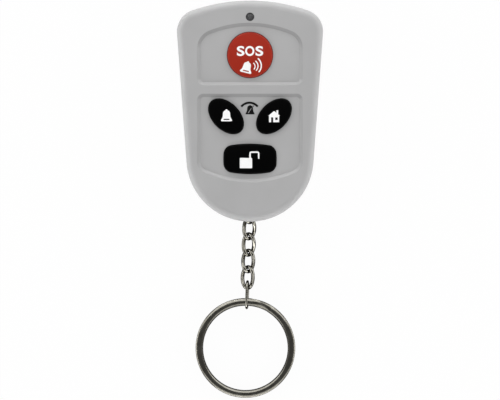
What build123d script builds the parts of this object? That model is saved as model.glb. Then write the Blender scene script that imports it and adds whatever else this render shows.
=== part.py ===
from build123d import *
import math
import os

# An alarm key fob: a hand transmitter in a two-part plastic housing, with four
# push buttons over tactile switches, a coin cell behind a bayonet cap, and a
# short curb chain that carries a split key ring.
# Lengths are in millimetres, angles in degrees. The fob lies on its back.
# +Z points out of the front face, +Y to the indicator end, and the chain runs
# to -Y. The origin is on the back face, at the middle of the housing.

# Housing: the outline is four radii that run into one another.
body_length = 55.2
body_half_width = 18.25
body_thickness = 12.4
top_arc_radius = 44.0
corner_radius = 5.6
bottom_radius = 15.9
side_wall = 1.6
back_wall = 1.5
front_wall = 1.9
front_edge_radius = 1.9
back_edge_radius = 1.6
inner_edge_radius = 0.6
parting_height = 6.2
parting_chamfer = 0.12
lip_height = 0.9
lip_clearance = 0.1

# Two shallow panels sunk in the front face. Heights on the face are shares of
# the housing's length, measured down from its top end, one below the other.
panel_side_margin = 5.1
panel_depth = 0.35
panel_wall_lean = 0.8
panel_rim_radius = 0.28
upper_panel_margin_share = 0.1018
upper_panel_arch_radius = 27.4
upper_panel_arch_corner = 4.5
upper_panel_flat_corner = 1.7
panel_bridge_share = 0.038
lower_panel_arch_radius = 28.4
lower_panel_arch_corner = 3.0
lower_panel_flat_corner = 1.5

# Push buttons. Their heights go by the housing's length too.
sos_radius_share = 0.1024
sos_margin_above_share = 0.0422
sos_margin_below_share = 0.0353
oval_half_length_share = 0.0942
oval_half_width_share = 0.0598
oval_drop_share = 0.1016
oval_turn = 45
oval_flange_gap = 0.82
disarm_half_width = 6.52
disarm_half_height_share = 0.0663
disarm_drop_share = 0.1926
disarm_margin_share = 0.0394
disarm_long_radius = 31.0
disarm_end_radius = 20.0
disarm_corner = 2.2
button_rise = 0.6
button_gap = 0.15
button_travel = 0.3
button_crown_radius = 60.0
button_edge_radius = 0.3
button_wall = 1.0
button_flange_width = 0.8
button_flange_height = 0.8
button_flange_gap = 0.1
button_post_radius = 1.5

# Indicator at the top of the front face.
indicator_margin = 4.1
indicator_radius = 1.05
indicator_flange_radius = 1.6
indicator_flange_height = 0.5
indicator_flange_gap = 0.05
indicator_recess = 0.08
indicator_dome_radius = 2.6
indicator_fit = 0.02
led_length = 1.6
led_width = 0.8
led_height = 0.8

# Circuit board.
board_thickness = 1.0
board_cell_room = 0.75
board_edge_gap = 0.4
board_slot_gap = 0.4
board_boss_gap = 0.4
board_post_radius = 0.9
board_post_wall_gap = 0.3
board_post_shares = [0.053, 0.53]

# Tactile switch, one under each button.
switch_size = 5.2
switch_base_height = 1.2
switch_cover_height = 0.25
switch_cover_hole = 1.2
switch_cover_inset = 0.15
switch_corner = 0.35
switch_well_radius = 1.7
switch_well_floor = 0.3
switch_stem_radius = 1.1
switch_stem_room = 0.25
switch_shoulder_radius = 1.5
switch_shoulder_height = 0.4
switch_shoulder_gap = 0.05
terminal_length = 0.7
terminal_width = 0.7
terminal_height = 0.25
terminal_pitch = 3.7

# Four screws hold the covers together from the back.
screw_boss_radius = 2.2
screw_wall_gap = 0.45
screw_lower_angle = 29
screw_head_radius = 1.6
screw_head_height = 1.2
screw_head_edge = 0.25
screw_seat_depth = 2.2
screw_shank_radius = 0.85
screw_length = 7.4
screw_counterbore_radius = 1.8
screw_clearance_radius = 1.05
screw_pilot_gap = 0.02
screw_tip_room = 0.4
screw_cross_length = 1.9
screw_cross_width = 0.5
screw_cross_depth = 0.7
boss_gap = 0.1

# Coin cell, its cap in the back cover and its two contacts.
cell_radius = 10.0
cell_thickness = 3.2
cell_lift = 0.45
cell_can_edge = 0.5
cell_top_radius = 8.8
cell_top_step = 0.3
cap_margin = 3.0
cap_rim = 0.4
cap_gap = 0.1
cap_inset = 0.1
cap_face_thickness = 1.1
cap_edge_chamfer = 0.25
cap_slot_width = 1.7
cap_slot_length = 15.0
cap_slot_depth = 0.6
cap_mark_radius = 0.5
cap_mark_depth = 0.25
cap_hub_inner_gap = 0.15
cap_hub_wall = 0.65
cap_pad_outer = 7.0
cap_pad_inner = 5.2
cap_pad_gap = 0.05
cap_lug_reach = 0.7
cap_lug_width = 5.0
cap_lug_height = 0.6
cap_lug_gap = 0.05
cap_lug_count = 3
cap_lug_first = 90
cap_turn = 30
cap_notch_gap = 0.3
ledge_gap = 0.15
ledge_height = 0.6
collar_gap = 0.2
collar_wall = 0.8
collar_board_gap = 0.2
gasket_width = 0.8
gasket_thickness = 0.25
gasket_outer_gap = 0.1
contact_thickness = 0.2
negative_width = 4.0
negative_foot_y = 3.2
negative_tip_y = 2.6
negative_tip_reach = 0.6
positive_width = 3.0
positive_back_gap = 0.25
positive_foot_reach = 3.0
positive_nose_drop = 1.9
positive_tip_drop = 2.5
positive_tip_back = 0.6
contact_touch_gap = 0.03

# Parts on the back of the board. The gaps between them are shares of the free
# room that is left between the battery well and the chain slot.
chip_length = 8.65
chip_width = 3.9
chip_height = 1.5
chip_standoff = 0.1
chip_leads_each_side = 7
chip_lead_pitch = 1.27
chip_lead_width = 0.42
chip_lead_reach = 1.05
chip_lead_thickness = 0.22
chip_lead_height_share = 0.5
chip_x = -2.6
chip_gap_share = 0.018
resonator_length = 5.0
resonator_width = 3.5
resonator_height = 1.5
resonator_edge = 0.3
resonator_x = 5.0
resonator_gap_share = 0.19
transistor_length = 2.9
transistor_width = 1.3
transistor_height = 1.0
transistor_lead_reach = 0.55
transistor_lead_width = 0.4
transistor_lead_thickness = 0.15
transistor_lead_pitch = 0.95
transistor_x = 5.0
transistor_gap_share = 0.22
resistor_size = (1.6, 0.8, 0.45)
capacitor_size = (1.6, 0.8, 0.8)
small_part_pitch = 1.6
resistor_row_x = -6.6
resistor_gap_share = 0.202
resistor_row_count = 6
capacitor_row_x = -9.6
capacitor_gap_share = 0.174
capacitor_row_count = 5
antenna_board_inset = 2.0
antenna_width = 0.8
antenna_thickness = 0.1
antenna_collar_gap = 2.1
antenna_gap_share = 0.073

# Slot, pin and curb chain.
slot_side_room = 1.125
slot_height_room = 0.175
slot_low = 1.3
slot_depth = 6.0
slot_block_wall = 1.2
slot_end_wall = 0.8
slot_flare = 0.7
slot_flare_depth = 1.0
slot_flare_reach_share = 2
pin_radius = 0.5
pin_fit = 0.03
pin_seat = 0.6
pin_inset = 3.85
pin_play = 0.05
pin_keeper_radius = 1.5
chain_yaw = 1.85
chain_wire = 0.95
chain_link_width = 3.55
chain_pitch = 4.15
chain_play = 0.2
chain_twist = 0.7
chain_link_pitches = [0, -11, -8, 1.5, 5.5]
chain_half_steps = 6

# Connecting link: a plain oval of thinner wire that stands on its edge.
connecting_wire = 0.6
connecting_ring_play = 0.13
connecting_straight = 3.65
connecting_play = 0.9
connecting_roll = -6

# Split key ring: two turns of flattened wire with a step where it changes turn.
ring_radius = 12.5
ring_wire_width = 1.9
ring_wire_height = 0.9
ring_turn_gap = 0.06
ring_step_start = 60
ring_step_angle = 24
ring_step_sections = 7
ring_floor_gap = 0.06

# One overrun serves every cut, and one bury depth every rib that joins a wall.
overrun = 1.0
bury = 0.4

# Centres of the outline's arcs.
top_arc_y = body_length / 2 - top_arc_radius
bottom_arc_y = bottom_radius - body_length / 2
corner_x = body_half_width - corner_radius
corner_y = top_arc_y + math.sqrt((top_arc_radius - corner_radius) ** 2 - corner_x ** 2)

# Heights in the battery well, from the cap up to the board.
cap_inner = cap_inset + cap_face_thickness
cell_low = cap_inner + cell_lift
cell_top = cell_low + cell_thickness
board_bottom = cell_top + board_cell_room
board_top = board_bottom + board_thickness
ledge_top = back_wall + ledge_height
hub_top = ledge_top + cap_lug_gap + cap_lug_height

# Radii in the battery well, from the cell outwards.
hub_outer = cell_radius + cap_hub_inner_gap + cap_hub_wall
lug_outer = hub_outer + cap_lug_reach
ledge_inner = hub_outer + ledge_gap
cap_radius = lug_outer + cap_rim
cap_hole_radius = cap_radius + cap_gap
collar_inner = lug_outer + collar_gap
collar_outer = collar_inner + collar_wall

# The cell sits as near the top end as the margin and the upper screws allow.
screw_reach = collar_outer + screw_boss_radius
cell_y = min(body_length / 2 - cap_margin - cap_hole_radius,
             corner_y - math.sqrt(max(screw_reach ** 2 - corner_x ** 2, 0)))
collar_low_y = cell_y - collar_outer

# Heights of the buttons and their switches.
front_inner = body_thickness - front_wall
panel_floor = body_thickness - panel_depth
button_top = panel_floor + button_rise
flange_top = front_inner - button_flange_gap
flange_low = flange_top - button_flange_height
switch_top = board_top + switch_base_height
stem_top = switch_top + switch_cover_height + button_travel + switch_stem_room

# Places on the front face, from the top end down.
panel_half_width = body_half_width - panel_side_margin
indicator_y = body_length / 2 - indicator_margin
sos_radius = sos_radius_share * body_length
oval_half_length = oval_half_length_share * body_length
oval_half_width = oval_half_width_share * body_length
disarm_half_height = disarm_half_height_share * body_length
upper_panel_top = body_length / 2 - upper_panel_margin_share * body_length
sos_y = upper_panel_top - sos_margin_above_share * body_length - sos_radius
upper_panel_bottom = sos_y - sos_radius - sos_margin_below_share * body_length
lower_panel_top = upper_panel_bottom - panel_bridge_share * body_length
oval_y = lower_panel_top - oval_drop_share * body_length
disarm_y = oval_y - disarm_drop_share * body_length
lower_panel_bottom = disarm_y - disarm_half_height - disarm_margin_share * body_length

# The ovals' flanges all but meet at the middle line.
oval_reach = math.hypot(oval_half_length * math.cos(math.radians(oval_turn)),
                        oval_half_width * math.sin(math.radians(oval_turn)))
oval_x = oval_reach + button_flange_width + oval_flange_gap

# Chain slot and pin, from the bottom end up.
link_half_width = (chain_link_width - chain_wire) / 2
link_half_length = (chain_pitch + chain_wire + chain_play) / 2
slot_half_width = chain_link_width / 2 + slot_side_room
slot_middle = slot_low + slot_height_room + chain_twist + chain_wire / 2
slot_high = 2 * slot_middle - slot_low
slot_end_y = slot_depth - body_length / 2
slot_block_half_width = slot_half_width + slot_block_wall
slot_block_end_y = slot_end_y + slot_end_wall
board_cut_y = slot_block_end_y + board_slot_gap
board_room = collar_low_y - slot_block_end_y
pin_low = slot_low - pin_seat
pin_y = pin_inset - body_length / 2

# Parts behind the board: two columns, each from the battery well down.
chip_reach = chip_width / 2 + chip_lead_reach
transistor_reach = transistor_width / 2 + transistor_lead_reach
left_free = board_room - capacitor_size[0] - 2 * chip_reach - resistor_size[0] - antenna_width
right_free = board_room - 2 * transistor_reach - resonator_width
capacitor_y = collar_low_y - capacitor_gap_share * left_free - capacitor_size[0] / 2
chip_y = capacitor_y - capacitor_size[0] / 2 - chip_gap_share * left_free - chip_reach
resistor_y = chip_y - chip_reach - resistor_gap_share * left_free - resistor_size[0] / 2
antenna_y = resistor_y - resistor_size[0] / 2 - antenna_gap_share * left_free - antenna_width
transistor_y = collar_low_y - transistor_gap_share * right_free - transistor_reach
resonator_y = transistor_y - transistor_reach - resonator_gap_share * right_free - resonator_width / 2

# The pin sits as far up the first link's opening as the wire lets it.
pin_share = (pin_radius + pin_play + chain_wire / 2) / link_half_width
chain_pin_offset = math.sqrt((link_half_length ** 2 - link_half_width ** 2) * (1 - pin_share ** 2))

# The ring's two turns have to swing inside the connecting link's end.
ring_rise = (ring_wire_height + ring_turn_gap) / 2
ring_swing_sine = 2 * ring_wire_height * ring_rise / (ring_wire_width ** 2 - ring_wire_height ** 2)
ring_swing_radius = math.hypot(ring_wire_width / 2 * math.sqrt(1 - ring_swing_sine ** 2),
                               ring_rise + ring_wire_height / 2 * ring_swing_sine)
connecting_inner_radius = ring_swing_radius + connecting_ring_play
connecting_radius = connecting_inner_radius + connecting_wire / 2
ring_middle_radius = ring_radius - ring_wire_width / 2


def slab(sketch, low, high):
    """A flat-ended solid of the sketch's outline between two heights."""
    return extrude(Pos(0, 0, low) * sketch, high - low)


def disc(x, y, radius, low, high):
    return slab(Pos(x, y) * Circle(radius), low, high)


def ring_slab(x, y, inner, outer, low, high):
    return slab(Pos(x, y) * (Circle(outer) - Circle(inner)), low, high)


def block(x_low, x_high, y_low, y_high, z_low, z_high):
    middle = Pos((x_low + x_high) / 2, (y_low + y_high) / 2, (z_low + z_high) / 2)
    return middle * Box(x_high - x_low, y_high - y_low, z_high - z_low)


def along(start, direction, distance):
    """The point that lies a distance from start, along a unit direction."""
    return tuple(s + d * distance for s, d in zip(start, direction))


def unit(x, y):
    length = math.hypot(x, y)
    return (x / length, y / length)


def mirrored_places(places):
    """Each place and its mirror image left of the middle line."""
    return [(side * x, y) for x, y in places for side in (1, -1)]


def side_direction():
    """The outward direction of the straight side on the right."""
    reach = math.hypot(corner_x, corner_y - bottom_arc_y)
    lean = math.atan2(corner_y - bottom_arc_y, corner_x)
    lean -= math.acos((bottom_radius - corner_radius) / reach)
    return (math.cos(lean), math.sin(lean))


def side_x(y, inset):
    """How far out the right side lies at a height on the face, less an inset."""
    side = side_direction()
    touch = along((corner_x, corner_y), side, corner_radius - inset)
    straight = touch[0] - (y - touch[1]) * side[1] / side[0]
    low = along((0, bottom_arc_y), side, bottom_radius - inset)
    if y < low[1]:
        return math.sqrt((bottom_radius - inset) ** 2 - (y - bottom_arc_y) ** 2)
    return straight


def screw_places():
    """Two screws at the upper corners and two inside the lower arc."""
    lean = math.radians(screw_lower_angle)
    reach = bottom_radius - side_wall - screw_wall_gap - screw_boss_radius
    lower = along((0, bottom_arc_y), (math.cos(lean), -math.sin(lean)), reach)
    return mirrored_places([(corner_x, corner_y), lower])


def board_post_places():
    """Posts beside the walls that carry the board and hold it down."""
    places = []
    for share in board_post_shares:
        y = collar_low_y - share * board_room
        places.append((side_x(y, side_wall + board_post_wall_gap + board_post_radius), y))
    return mirrored_places(places)


def outline(inset):
    """The housing's outline, drawn in by an inset."""
    side = side_direction()
    shoulder = unit(corner_x, corner_y - top_arc_y)
    between = unit(side[0] + shoulder[0], side[1] + shoulder[1])
    corner = (corner_x, corner_y)
    low = along((0, bottom_arc_y), side, bottom_radius - inset)
    high = along(corner, side, corner_radius - inset)
    turn = along(corner, between, corner_radius - inset)
    top = along(corner, shoulder, corner_radius - inset)
    right = [
        Line(low, high),
        ThreePointArc(high, turn, top),
    ]
    left = [
        Line((-low[0], low[1]), (-high[0], high[1])),
        ThreePointArc((-high[0], high[1]), (-turn[0], turn[1]), (-top[0], top[1])),
    ]
    crown = ThreePointArc(top, (0, body_length / 2 - inset), (-top[0], top[1]))
    foot = ThreePointArc(low, (0, inset - body_length / 2), (-low[0], low[1]))
    return make_face(right + left + [crown, foot])


def panel(flat_y, apex_y, arch_radius, arch_corner, flat_corner, inset):
    """A panel with one straight end and one arched end."""
    sign = 1 if apex_y > flat_y else -1
    arch_y = apex_y - sign * arch_radius
    arch_x = panel_half_width - arch_corner
    corner_y = arch_y + sign * math.sqrt((arch_radius - arch_corner) ** 2 - arch_x ** 2)
    shoulder = unit(arch_x, corner_y - arch_y)
    between = unit(1 + shoulder[0], shoulder[1])
    flat_x = panel_half_width - flat_corner
    flat_centre = (flat_x, flat_y + sign * flat_corner)
    arch_centre = (arch_x, corner_y)
    foot = (flat_x, flat_y + sign * inset)
    foot_turn = along(flat_centre, unit(1, -sign), flat_corner - inset)
    low = along(flat_centre, (1, 0), flat_corner - inset)
    high = along(arch_centre, (1, 0), arch_corner - inset)
    turn = along(arch_centre, between, arch_corner - inset)
    top = along(arch_centre, shoulder, arch_corner - inset)
    edges = [Line(foot, (-foot[0], foot[1]))]
    for side in (1, -1):
        a, b, c, d, e, f = [(side * x, y) for x, y in (foot, foot_turn, low, high, turn, top)]
        edges += [ThreePointArc(a, b, c), Line(c, d), ThreePointArc(d, e, f)]
    edges.append(ThreePointArc(top, (0, apex_y - sign * inset), (-top[0], top[1])))
    return make_face(edges)


def upper_panel(inset):
    return panel(upper_panel_bottom, upper_panel_top, upper_panel_arch_radius,
                 upper_panel_arch_corner, upper_panel_flat_corner, inset)


def lower_panel(inset):
    return panel(lower_panel_top, lower_panel_bottom, lower_panel_arch_radius,
                 lower_panel_arch_corner, lower_panel_flat_corner, inset)


def panel_cut(shape):
    """What a panel takes out of the front face: its walls lean outwards."""
    floor = Pos(0, 0, panel_floor) * shape(panel_wall_lean)
    mouth = Pos(0, 0, body_thickness + panel_depth) * shape(-panel_wall_lean)
    return loft([floor, mouth], ruled=True)


def barrel(grow):
    """The disarm button's outline: long shallow arcs and slightly bulged ends."""
    long_y = disarm_half_height - disarm_long_radius
    end_x = disarm_half_width - disarm_end_radius
    long_reach = disarm_long_radius - disarm_corner
    end_reach = disarm_end_radius - disarm_corner
    span = math.hypot(end_x, long_y)
    foot = (long_reach ** 2 - end_reach ** 2 + span ** 2) / (2 * span)
    rise = math.sqrt(long_reach ** 2 - foot ** 2)
    step = unit(end_x, -long_y)
    corner = (step[0] * foot + step[1] * rise, long_y + step[1] * foot - step[0] * rise)
    up = unit(corner[0], corner[1] - long_y)
    out = unit(corner[0] - end_x, corner[1])
    between = unit(up[0] + out[0], up[1] + out[1])
    top = along(corner, up, disarm_corner + grow)
    turn = along(corner, between, disarm_corner + grow)
    side = along(corner, out, disarm_corner + grow)
    edges = []
    for sx in (1, -1):
        side_middle = (sx * (disarm_half_width + grow), 0)
        edges.append(ThreePointArc((sx * side[0], side[1]), side_middle, (sx * side[0], -side[1])))
        for sy in (1, -1):
            points = [(sx * x, sy * y) for x, y in (top, turn, side)]
            edges.append(ThreePointArc(*points))
    for sy in (1, -1):
        middle = (0, sy * (disarm_half_height + grow))
        edges.append(ThreePointArc((top[0], sy * top[1]), middle, (-top[0], sy * top[1])))
    return make_face(edges)


def sos_shape(grow):
    return Circle(sos_radius + grow)


def arm_shape(grow):
    return Rot(0, 0, -oval_turn) * Ellipse(oval_half_length + grow, oval_half_width + grow)


def home_shape(grow):
    return Rot(0, 0, oval_turn) * Ellipse(oval_half_length + grow, oval_half_width + grow)


# Each button's name, place and outline.
buttons = [
    ("sos", (0, sos_y), sos_shape),
    ("arm", (-oval_x, oval_y), arm_shape),
    ("home", (oval_x, oval_y), home_shape),
    ("disarm", (0, disarm_y), barrel),
]


def front_cover():
    """The front half: face, panels, button holes, screw bosses and board pads."""
    shell = slab(outline(0), parting_height, body_thickness)
    shell = fillet(shell.edges().group_by(Axis.Z)[-1], front_edge_radius)
    shell = chamfer(shell.edges().group_by(Axis.Z)[0], parting_chamfer)
    for shape in (upper_panel, lower_panel):
        shell -= panel_cut(shape)
    face = shell.faces().filter_by(Axis.Z).sort_by(Axis.Z)[-1]
    shell = fillet([edge for rim in face.inner_wires() for edge in rim.edges()], panel_rim_radius)
    floors = shell.faces().filter_by(Axis.Z).sort_by(Axis.Z)[-3:-1]
    shell = fillet([edge for floor in floors for edge in floor.edges()], panel_rim_radius)
    cavity = slab(outline(side_wall), parting_height - overrun, front_inner)
    cavity = fillet(cavity.edges().group_by(Axis.Z)[-1], inner_edge_radius)
    shell -= cavity
    lip = slab(outline(side_wall / 2 + lip_clearance) - outline(side_wall),
               parting_height - lip_height, parting_height + lip_height)
    gap_half = slot_block_half_width + lip_clearance
    lip -= block(-gap_half, gap_half, -body_length, slot_block_end_y, 0, body_thickness)
    shell += lip
    top = front_inner + bury
    for x, y in screw_places():
        shell += disc(x, y, screw_boss_radius, parting_height + boss_gap, top)
    for x, y in board_post_places():
        shell += disc(x, y, board_post_radius, board_top, top)
    shell += disc(0, pin_y, pin_keeper_radius, parting_height, top)
    for x, y in screw_places():
        tip = screw_seat_depth + screw_length + screw_tip_room
        shell -= disc(x, y, screw_shank_radius + screw_pilot_gap, parting_height - overrun, tip)
    for name, place, shape in buttons:
        shell -= slab(Pos(*place) * shape(button_gap), front_inner - overrun, body_thickness + overrun)
    shell -= disc(0, indicator_y, indicator_radius + indicator_fit,
                  front_inner - overrun, body_thickness + overrun)
    return shell


def slot_cut():
    """The chain slot, with a mouth that flares towards the outside."""
    rim = -body_length / 2
    cut = block(-slot_half_width, slot_half_width, rim - overrun, slot_end_y, slot_low, slot_high)
    narrow = Plane(origin=(0, rim + slot_flare_depth, slot_middle), x_dir=(1, 0, 0), z_dir=(0, -1, 0))
    wide = narrow.offset(slot_flare_depth * slot_flare_reach_share)
    spread = 2 * slot_flare * slot_flare_reach_share
    width, height = 2 * slot_half_width, slot_high - slot_low
    mouth = loft([narrow * Rectangle(width, height), wide * Rectangle(width + spread, height + spread)],
                 ruled=True)
    return cut + mouth


def back_cover():
    """The back half: battery well, bosses, board posts and the chain slot."""
    shell = slab(outline(0), 0, parting_height)
    shell = fillet(shell.edges().group_by(Axis.Z)[0], back_edge_radius)
    shell = chamfer(shell.edges().group_by(Axis.Z)[-1], parting_chamfer)
    cavity = slab(outline(side_wall), back_wall, parting_height + overrun)
    cavity = fillet(cavity.edges().group_by(Axis.Z)[0], inner_edge_radius)
    shell -= cavity
    shell -= slab(outline(side_wall / 2), parting_height - lip_height - lip_clearance,
                  parting_height + overrun)
    slot_block = block(-slot_block_half_width, slot_block_half_width,
                       -body_length, slot_block_end_y, back_wall - bury, parting_height)
    shell += slot_block & slab(outline(side_wall / 2), 0, parting_height)
    shell += ring_slab(0, cell_y, collar_inner, collar_outer, back_wall - bury,
                       board_bottom - collar_board_gap)
    shell += ring_slab(0, cell_y, ledge_inner, collar_outer, back_wall, ledge_top)
    shell -= disc(0, cell_y, cap_hole_radius, -overrun, back_wall)
    for x, y in screw_places():
        shell += disc(x, y, screw_boss_radius, back_wall - bury, parting_height)
    for x, y in board_post_places():
        shell += disc(x, y, board_post_radius, back_wall - bury, board_bottom)
    for x, y in screw_places():
        shell -= disc(x, y, screw_counterbore_radius, -overrun, screw_seat_depth)
        shell -= disc(x, y, screw_clearance_radius, 0, parting_height + overrun)
    for number in range(cap_lug_count):
        angle = cap_lug_first - cap_turn + number * 360 / cap_lug_count
        shell -= lug_wedge(angle, ledge_inner - overrun, lug_outer + collar_gap / 2,
                           cap_lug_width + 2 * cap_notch_gap, back_wall, ledge_top + overrun)
    shell -= slot_cut()
    shell -= disc(0, pin_y, pin_radius + pin_fit, pin_low, parting_height + overrun)
    return shell


def lug_wedge(angle, inner, outer, width, low, high):
    """A piece of ring round the battery cap's axis, as wide as a lug."""
    ring = ring_slab(0, 0, inner, outer, low, high)
    bar = block(0, outer + overrun, -width / 2, width / 2, low, high)
    return Pos(0, cell_y) * Rot(0, 0, angle) * (ring & bar)


def battery_cap():
    """Round cap with a coin slot outside and a lugged hub inside."""
    cap = disc(0, cell_y, cap_radius, cap_inset, cap_inner)
    cap = chamfer(cap.edges().group_by(Axis.Z)[0], cap_edge_chamfer)
    slot = SlotOverall(cap_slot_length, cap_slot_width)
    cap -= slab(Pos(0, cell_y) * slot, cap_inset - overrun, cap_inset + cap_slot_depth)
    mark_x = (cap_slot_length / 2 + cap_radius) / 2
    cap -= disc(mark_x, cell_y, cap_mark_radius, cap_inset - overrun, cap_inset + cap_mark_depth)
    cap += ring_slab(0, cell_y, hub_outer - cap_hub_wall, hub_outer, cap_inner, hub_top)
    cap += ring_slab(0, cell_y, cap_pad_inner, cap_pad_outer, cap_inner, cell_low - cap_pad_gap)
    for number in range(cap_lug_count):
        angle = cap_lug_first + number * 360 / cap_lug_count
        cap += lug_wedge(angle, hub_outer - cap_hub_wall / 2, lug_outer, cap_lug_width,
                         hub_top - cap_lug_height, hub_top)
    return cap


def battery_cap_gasket():
    outer = cap_radius - gasket_outer_gap
    return ring_slab(0, cell_y, outer - gasket_width, outer, cap_inner, cap_inner + gasket_thickness)


def coin_cell():
    """Steel can with a smaller negative top."""
    can = disc(0, cell_y, cell_radius, cell_low, cell_top - cell_top_step)
    can = fillet(can.edges().group_by(Axis.Z)[0], cell_can_edge)
    can = fillet(can.edges().group_by(Axis.Z)[-1], cell_top_step)
    top = disc(0, cell_y, cell_top_radius, cell_low, cell_top)
    return can + fillet(top.edges().group_by(Axis.Z)[-1], cell_top_step / 2)


def bent_strip(points, width):
    """A strip of contact metal that follows points in the plane of Y and Z."""
    path = Plane.YZ * Polyline(*points)
    section = offset(path, contact_thickness / 2, side=Side.BOTH)
    face = make_face(section)
    return extrude(face, width / 2, both=True)


def cell_negative_spring():
    """Leaf under the board that presses on the cell's top."""
    half = contact_thickness / 2
    foot_z = board_bottom - half
    tip_z = cell_top + half + contact_touch_gap
    points = [
        (cell_y + negative_foot_y, foot_z),
        (cell_y, foot_z),
        (cell_y - negative_tip_y, tip_z),
        (cell_y - negative_tip_y - negative_tip_reach, (foot_z + tip_z) / 2),
    ]
    return bent_strip(points, negative_width)


def cell_positive_clip():
    """Bent clip between the collar and the cell, touching the can's side."""
    half = contact_thickness / 2
    foot_z = board_bottom - half
    back_y = cell_y - collar_inner + positive_back_gap + half
    nose_y = cell_y - cell_radius - half - contact_touch_gap
    points = [
        (back_y + positive_foot_reach, foot_z),
        (back_y, foot_z),
        (back_y, foot_z - positive_nose_drop / 2),
        (nose_y, foot_z - positive_nose_drop),
        (nose_y - positive_tip_back, foot_z - positive_tip_drop),
    ]
    return bent_strip(points, positive_width)


def around_bosses(shape):
    """Keeps a flat part of the board clear of the screw bosses."""
    for x, y in screw_places():
        shape -= disc(x, y, screw_boss_radius + board_boss_gap, board_bottom - overrun, board_top + overrun)
    return shape


def circuit_board():
    board = around_bosses(slab(outline(side_wall + board_edge_gap), board_bottom, board_top))
    board -= block(-body_half_width, body_half_width, -body_length, board_cut_y,
                   board_bottom - overrun, board_top + overrun)
    return board


def switch_square(inset):
    side = switch_size - 2 * inset
    return RectangleRounded(side, side, switch_corner)


def switch_base(place):
    base = slab(switch_square(0), board_top, switch_top)
    base -= disc(0, 0, switch_well_radius, board_top + switch_well_floor, switch_top + overrun)
    return Pos(*place) * base


def switch_cover(place):
    cover = slab(switch_square(switch_cover_inset), switch_top, switch_top + switch_cover_height)
    cover -= disc(0, 0, switch_cover_hole, switch_top - overrun, stem_top)
    return Pos(*place) * cover


def switch_stem(place):
    shoulder_top = switch_top - switch_shoulder_gap
    stem = disc(0, 0, switch_shoulder_radius, shoulder_top - switch_shoulder_height, shoulder_top)
    stem += disc(0, 0, switch_stem_radius, shoulder_top - switch_shoulder_height, stem_top)
    return Pos(*place) * stem


def switch_terminals():
    """Four soldered feet beside each switch."""
    feet = []
    for name, (x, y), shape in buttons:
        for side in (1, -1):
            for row in (1, -1):
                foot_x = x + side * (switch_size + terminal_length) / 2
                foot_y = y + row * terminal_pitch / 2
                foot = Box(terminal_length, terminal_width, terminal_height)
                feet.append(Pos(foot_x, foot_y, board_top + terminal_height / 2) * foot)
    return Compound(feet)


def button(place, shape):
    """A hollow button with a crowned top, a retaining flange and a centre post."""
    roof = button_top - button_wall
    cap = slab(shape(0), flange_low, button_top)
    cap &= Pos(0, 0, button_top - button_crown_radius) * Sphere(button_crown_radius)
    crown = cap.faces().sort_by(Axis.Z)[-1]
    cap = fillet(crown.edges(), button_edge_radius)
    cap += slab(shape(button_flange_width), flange_low, flange_top)
    cap -= slab(shape(-button_wall), flange_low - overrun, roof)
    cap += disc(0, 0, button_post_radius, stem_top, roof + bury)
    return Pos(*place) * cap


def indicator_lens():
    """Clear light pipe with a domed end and a flange behind the face."""
    tip = body_thickness - indicator_recess
    low = board_top + led_height + indicator_flange_gap
    lens = disc(0, 0, indicator_radius, low, tip)
    lens &= Pos(0, 0, tip - indicator_dome_radius) * (
        Sphere(indicator_dome_radius)
        + slab(Circle(indicator_dome_radius), low - tip, 0)
    )
    top = front_inner - indicator_flange_gap
    lens += disc(0, 0, indicator_flange_radius, top - indicator_flange_height, top)
    return Pos(0, indicator_y) * lens


def indicator_led():
    led = block(-led_length / 2, led_length / 2, -led_width / 2, led_width / 2,
                board_top, board_top + led_height)
    return Pos(0, indicator_y) * led


def cover_screws():
    """Four pan-head screws, driven in from the back."""
    screws = []
    for x, y in screw_places():
        head_low = screw_seat_depth - screw_head_height
        screw = disc(x, y, screw_head_radius, head_low, screw_seat_depth)
        screw = fillet(screw.edges().group_by(Axis.Z)[0], screw_head_edge)
        screw += disc(x, y, screw_shank_radius, head_low, screw_seat_depth + screw_length)
        for long_x, long_y in ((screw_cross_length, screw_cross_width), (screw_cross_width, screw_cross_length)):
            screw -= block(x - long_x / 2, x + long_x / 2, y - long_y / 2, y + long_y / 2,
                           head_low - overrun, head_low + screw_cross_depth)
        screws.append(screw)
    return Compound([solid for screw in screws for solid in screw.solids()])


def microcontroller():
    """Small-outline chip with gull-wing leads, on the back of the board."""
    top = board_bottom - chip_standoff
    half_length = chip_length / 2
    half_width = chip_width / 2
    chip = block(-half_length, half_length, -half_width, half_width, top - chip_height, top)
    lead_z = top - chip_height * chip_lead_height_share
    knee = half_width + chip_lead_reach / 2
    for number in range(chip_leads_each_side):
        lead_x = (number - (chip_leads_each_side - 1) / 2) * chip_lead_pitch
        low_x = lead_x - chip_lead_width / 2
        high_x = lead_x + chip_lead_width / 2
        lead = block(low_x, high_x, half_width - bury, knee, lead_z, lead_z + chip_lead_thickness)
        lead += block(low_x, high_x, knee - chip_lead_thickness, knee, lead_z, board_bottom)
        lead += block(low_x, high_x, knee - chip_lead_thickness, half_width + chip_lead_reach,
                      board_bottom - chip_lead_thickness, board_bottom)
        chip += lead + Rot(0, 0, 180) * (Pos(-2 * lead_x, 0) * lead)
    return Pos(chip_x, chip_y) * chip


def saw_resonator():
    body = block(-resonator_length / 2, resonator_length / 2, -resonator_width / 2, resonator_width / 2,
                 board_bottom - resonator_height, board_bottom)
    body = fillet(body.edges().filter_by(Axis.Z), resonator_edge)
    return Pos(resonator_x, resonator_y) * body


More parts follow.
